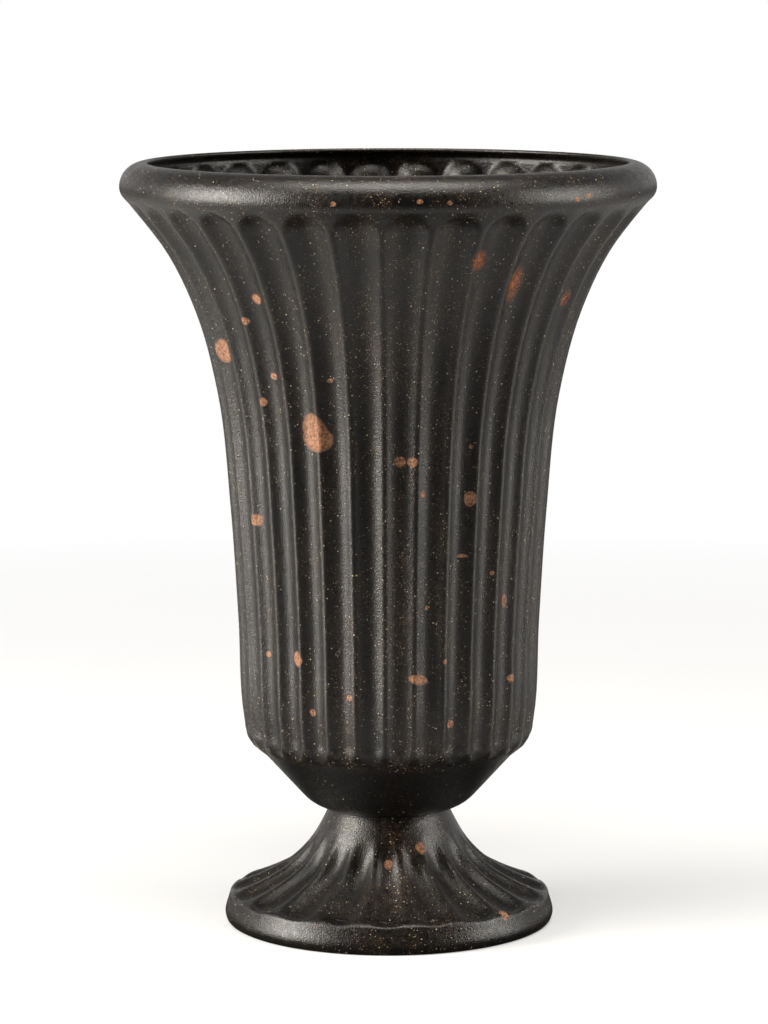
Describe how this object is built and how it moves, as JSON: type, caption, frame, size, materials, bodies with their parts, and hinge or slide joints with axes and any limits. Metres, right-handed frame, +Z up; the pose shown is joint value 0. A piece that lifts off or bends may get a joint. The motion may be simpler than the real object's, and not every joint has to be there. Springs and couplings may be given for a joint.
{
  "type": "urn planter",
  "caption": "Tall fluted urn planter: a trumpet-shaped bowl with a rolled lip, bolted to a flared fluted pedestal foot, with rubber plugs in its drain holes.",
  "frame": {"origin": "centre of the ring that the foot rests on, at floor level", "axes": "+Z up along the urn's axis, -Y towards the viewer of the picture, +X to the viewer's right"},
  "size_m": [0.3179, 0.318, 0.4576],
  "materials": {
    "urn_resin": "satin near-black paint on moulded resin, with fine brown and copper speckle",
    "zinc_steel": "bright zinc plate",
    "seal_rubber": "matt black rubber",
    "plug_rubber": "matt black moulded rubber"
  },
  "bodies": {
    "urn": {"bowl": "urn_resin", "pedestal_foot": "urn_resin", "clamp_bolt": "zinc_steel", "head_washer": "zinc_steel", "sealing_washer": "seal_rubber"},
    "loose_washer": {"nut_washer": "zinc_steel"},
    "nut": {"wing_nut": "zinc_steel"},
    "plug_1": {"drain_plug_1": "plug_rubber"},
    "plug_2": {"drain_plug_2": "plug_rubber"},
    "plug_3": {"drain_plug_3": "plug_rubber"}
  },
  "joints": [
    {"name": "nut_travel", "type": "slide", "parent": "urn", "child": "loose_washer", "axis": [0, 0, -1], "range_m": [0, 0.0218]},
    {"name": "nut_spin", "type": "hinge", "parent": "loose_washer", "child": "nut", "pos_m": [0, 0, 0.0593], "axis": [0, 0, -1], "range_deg": [0, 6249.6]},
    {"name": "drain_plug_1_lift", "type": "slide", "parent": "urn", "child": "plug_1", "axis": [0, 0, 1], "range_m": [0, 0.4]},
    {"name": "drain_plug_2_lift", "type": "slide", "parent": "urn", "child": "plug_2", "axis": [0, 0, 1], "range_m": [0, 0.4]},
    {"name": "drain_plug_3_lift", "type": "slide", "parent": "urn", "child": "plug_3", "axis": [0, 0, 1], "range_m": [0, 0.4]}
  ],
  "couplings": [
    {"joint": "nut_travel", "follows": "nut_spin", "m_per_rad": 0.00019894}
  ]
}
